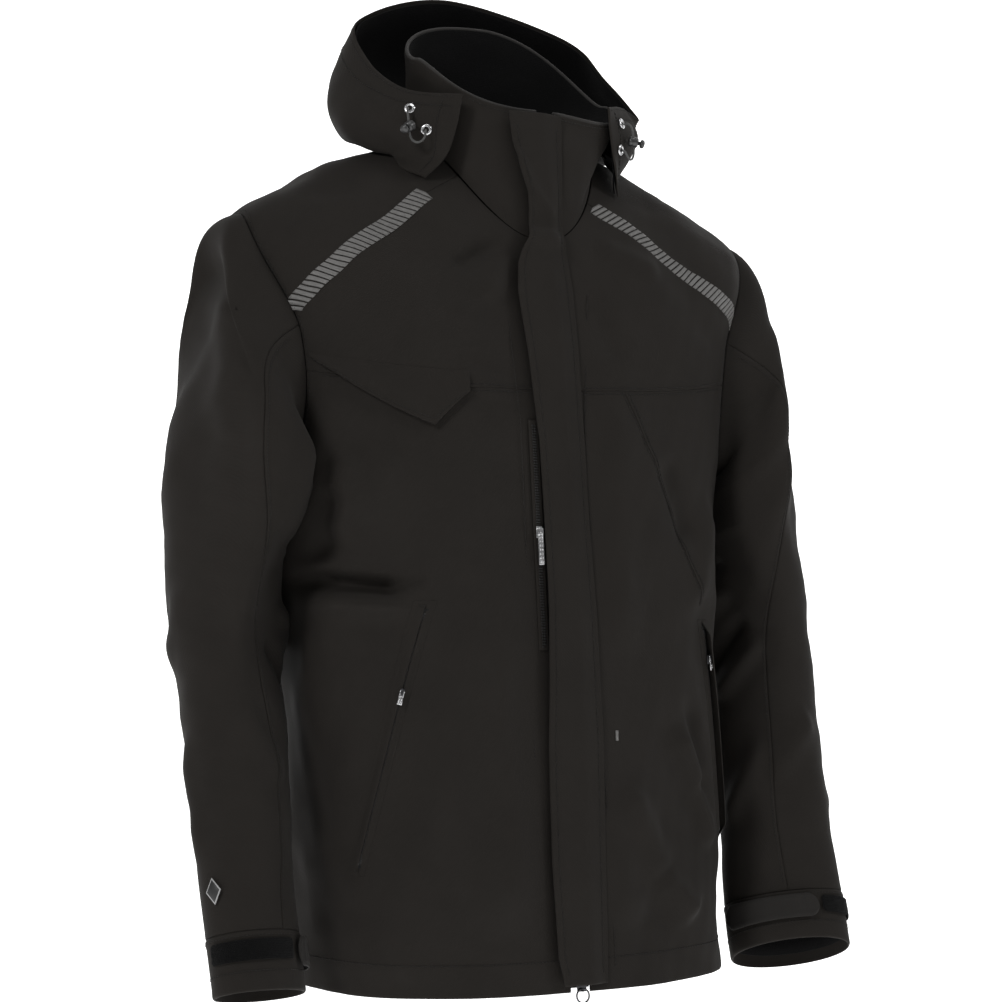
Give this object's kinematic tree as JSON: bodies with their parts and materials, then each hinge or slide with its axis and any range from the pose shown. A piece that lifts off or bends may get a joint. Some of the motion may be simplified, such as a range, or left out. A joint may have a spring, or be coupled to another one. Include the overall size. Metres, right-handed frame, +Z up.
{
  "type": "hardshell jacket",
  "caption": "Zipped waterproof shell jacket with storm flap, stand collar, hood, sleeves with cuff tabs, slanted hand pockets and a flapped chest pocket, shaped as worn.",
  "frame": {"origin": "hanger loop inside the back of the neck", "axes": "+Z up along the worn garment, +X to the wearer's left, -Y to the wearer's front"},
  "size_m": [0.6531, 0.295, 0.9297],
  "materials": {
    "shell_fabric": "matt woven face with a faint twill",
    "lining_fabric": "matt knitted mesh",
    "reflective_print": "slanted retro-reflective bars",
    "bright_metal": "polished",
    "dark_metal": "dark plated",
    "moulded_grey": "satin moulded",
    "cord_braid": "round braided elastic cord",
    "zip_tape": "coated tape with coil teeth",
    "loop_tape": "narrow woven tape",
    "loop_pile": "hook-and-loop pile",
    "badge_film": "thin moulded film",
    "tab_film": "moulded soft tab"
  },
  "bodies": {
    "shell": {"front_panel_left": "shell_fabric", "front_panel_right": "shell_fabric", "back_panel": "shell_fabric", "chest_yoke_left": "shell_fabric", "chest_yoke_right": "shell_fabric", "shoulder_yoke": "shell_fabric", "reflective_piping_left": "reflective_print", "reflective_piping_right": "reflective_print", "collar_outer": "shell_fabric", "collar_lining": "lining_fabric", "body_lining": "lining_fabric", "hem_band": "shell_fabric", "zip_tape_left": "zip_tape", "zip_tape_right": "zip_tape", "inner_zip_guard": "shell_fabric", "chest_zip_tape": "zip_tape", "chest_pocket_bag": "lining_fabric", "hanger_loop": "loop_tape", "hand_zip_tape_left": "zip_tape", "hand_pocket_welt_left": "shell_fabric", "hand_pocket_bag_left": "lining_fabric", "hand_zip_tape_right": "zip_tape", "hand_pocket_welt_right": "shell_fabric", "hand_pocket_bag_right": "lining_fabric"},
    "storm_flap": {"storm_flap": "shell_fabric"},
    "main_zip_slider": {"main_zip_slider": "dark_metal"},
    "main_zip_pull": {"main_zip_pull": "moulded_grey"},
    "bottom_zip_slider": {"bottom_zip_slider": "dark_metal"},
    "bottom_zip_ring": {"bottom_zip_ring": "dark_metal"},
    "chest_zip_slider": {"chest_zip_slider": "bright_metal"},
    "chest_zip_pull": {"chest_zip_pull": "bright_metal"},
    "chest_pocket_flap": {"chest_pocket_flap": "shell_fabric"},
    "hand_zip_slider_left": {"hand_zip_slider_left": "dark_metal"},
    "hand_zip_pull_left": {"hand_zip_pull_left": "moulded_grey"},
    "sleeve_left": {"sleeve_top_panel_left": "shell_fabric", "sleeve_under_panel_left": "shell_fabric", "cuff_band_left": "shell_fabric", "cuff_loop_patch_left": "loop_pile"},
    "cuff_tab_left": {"cuff_tab_left": "tab_film"},
    "hand_zip_slider_right": {"hand_zip_slider_right": "dark_metal"},
    "hand_zip_pull_right": {"hand_zip_pull_right": "moulded_grey"},
    "sleeve_right": {"sleeve_top_panel_right": "shell_fabric", "sleeve_under_panel_right": "shell_fabric", "cuff_band_right": "shell_fabric", "cuff_loop_patch_right": "loop_pile", "sleeve_badge": "badge_film"},
    "cuff_tab_right": {"cuff_tab_right": "tab_film"},
    "hood": {"hood_shell": "shell_fabric", "hood_lining": "lining_fabric", "hood_eyelet_upper_left": "bright_metal", "hood_eyelet_lower_left": "bright_metal", "hood_eyelet_upper_right": "bright_metal", "hood_eyelet_lower_right": "bright_metal", "hood_drawcord_left": "cord_braid", "hood_drawcord_right": "cord_braid", "cord_lock_body_left": "moulded_grey", "cord_lock_body_right": "moulded_grey"},
    "cord_lock_plunger_left": {"cord_lock_plunger_left": "moulded_grey"},
    "cord_lock_plunger_right": {"cord_lock_plunger_right": "moulded_grey"}
  },
  "joints": [
    {"name": "storm_flap_fold", "type": "hinge", "parent": "shell", "child": "storm_flap", "pos_m": [0.031, -0.18236, -0.36922], "axis": [0, 0.1005, 0.9949], "range_deg": [0, 150]},
    {"name": "main_zip_run", "type": "slide", "parent": "shell", "child": "main_zip_slider", "axis": [0, 0.1005, 0.9949], "range_m": [-0.55, 0]},
    {"name": "main_pull_swing", "type": "hinge", "parent": "main_zip_slider", "child": "main_zip_pull", "pos_m": [0, -0.14162, -0.00764], "axis": [-1, 0, 0], "range_deg": [0, 5]},
    {"name": "bottom_zip_run", "type": "slide", "parent": "shell", "child": "bottom_zip_slider", "axis": [0, 0.1005, 0.9949], "range_m": [0, 0.15]},
    {"name": "bottom_ring_swing", "type": "hinge", "parent": "bottom_zip_slider", "child": "bottom_zip_ring", "pos_m": [0, -0.21828, -0.76664], "axis": [-1, 0, 0], "range_deg": [0, 90]},
    {"name": "chest_zip_run", "type": "slide", "parent": "shell", "child": "chest_zip_slider", "axis": [0, 0.1005, 0.9949], "range_m": [-0.09, 0.085]},
    {"name": "chest_pull_swing", "type": "hinge", "parent": "chest_zip_slider", "child": "chest_zip_pull", "pos_m": [-0.0205, -0.17857, -0.36253], "axis": [-1, 0, 0], "range_deg": [0, 150]},
    {"name": "chest_flap_lift", "type": "hinge", "parent": "shell", "child": "chest_pocket_flap", "pos_m": [-0.1522, -0.1499, -0.2186], "axis": [-0.9442, 0.3138, 0.1004], "range_deg": [0, 70]},
    {"name": "hand_zip_run_left", "type": "slide", "parent": "shell", "child": "hand_zip_slider_left", "axis": [-0.1427, -0.0397, 0.989], "range_m": [-0.11, 0.02]},
    {"name": "hand_pull_swing_left", "type": "hinge", "parent": "hand_zip_slider_left", "child": "hand_zip_pull_left", "pos_m": [0.17216, -0.15852, -0.4802], "axis": [-0.8279, -0.5428, -0.1412], "range_deg": [0, 150]},
    {"name": "shoulder_left", "type": "hinge", "parent": "shell", "child": "sleeve_left", "pos_m": [0.2588, -0.04499, -0.0845], "axis": [0, -1, 0], "range_deg": [0, 45]},
    {"name": "hand_zip_run_right", "type": "slide", "parent": "shell", "child": "hand_zip_slider_right", "axis": [0.251, -0.0499, 0.9667], "range_m": [-0.11, 0.05]},
    {"name": "hand_pull_swing_right", "type": "hinge", "parent": "hand_zip_slider_right", "child": "hand_zip_pull_right", "pos_m": [-0.15281, -0.17071, -0.50398], "axis": [-0.8691, 0.4281, 0.2477], "range_deg": [0, 150]},
    {"name": "shoulder_right", "type": "hinge", "parent": "shell", "child": "sleeve_right", "pos_m": [-0.2588, -0.04499, -0.0845], "axis": [0, 1, 0], "range_deg": [0, 45]},
    {"name": "cuff_tab_peel_left", "type": "hinge", "parent": "sleeve_left", "child": "cuff_tab_left", "pos_m": [0.22826, -0.13055, -0.73315], "axis": [-0.0007, -0.3298, -0.9441], "range_deg": [0, 40]},
    {"name": "cuff_tab_peel_right", "type": "hinge", "parent": "sleeve_right", "child": "cuff_tab_right", "pos_m": [-0.24268, -0.10521, -0.74113], "axis": [-0.0408, 0.3443, 0.938], "range_deg": [0, 25]},
    {"name": "hood_lower", "type": "hinge", "parent": "shell", "child": "hood", "pos_m": [0, 0.02, 0.016], "axis": [-1, 0, 0], "range_deg": [0, 12]},
    {"name": "cord_lock_press_left", "type": "slide", "parent": "hood", "child": "cord_lock_plunger_left", "axis": [-0.9175, 0.3379, 0.2096], "range_m": [0, 0.0015], "stiffness_N_per_m": 150},
    {"name": "cord_lock_press_right", "type": "slide", "parent": "hood", "child": "cord_lock_plunger_right", "axis": [0.7851, 0.4532, 0.4221], "range_m": [0, 0.0015], "stiffness_N_per_m": 150}
  ]
}
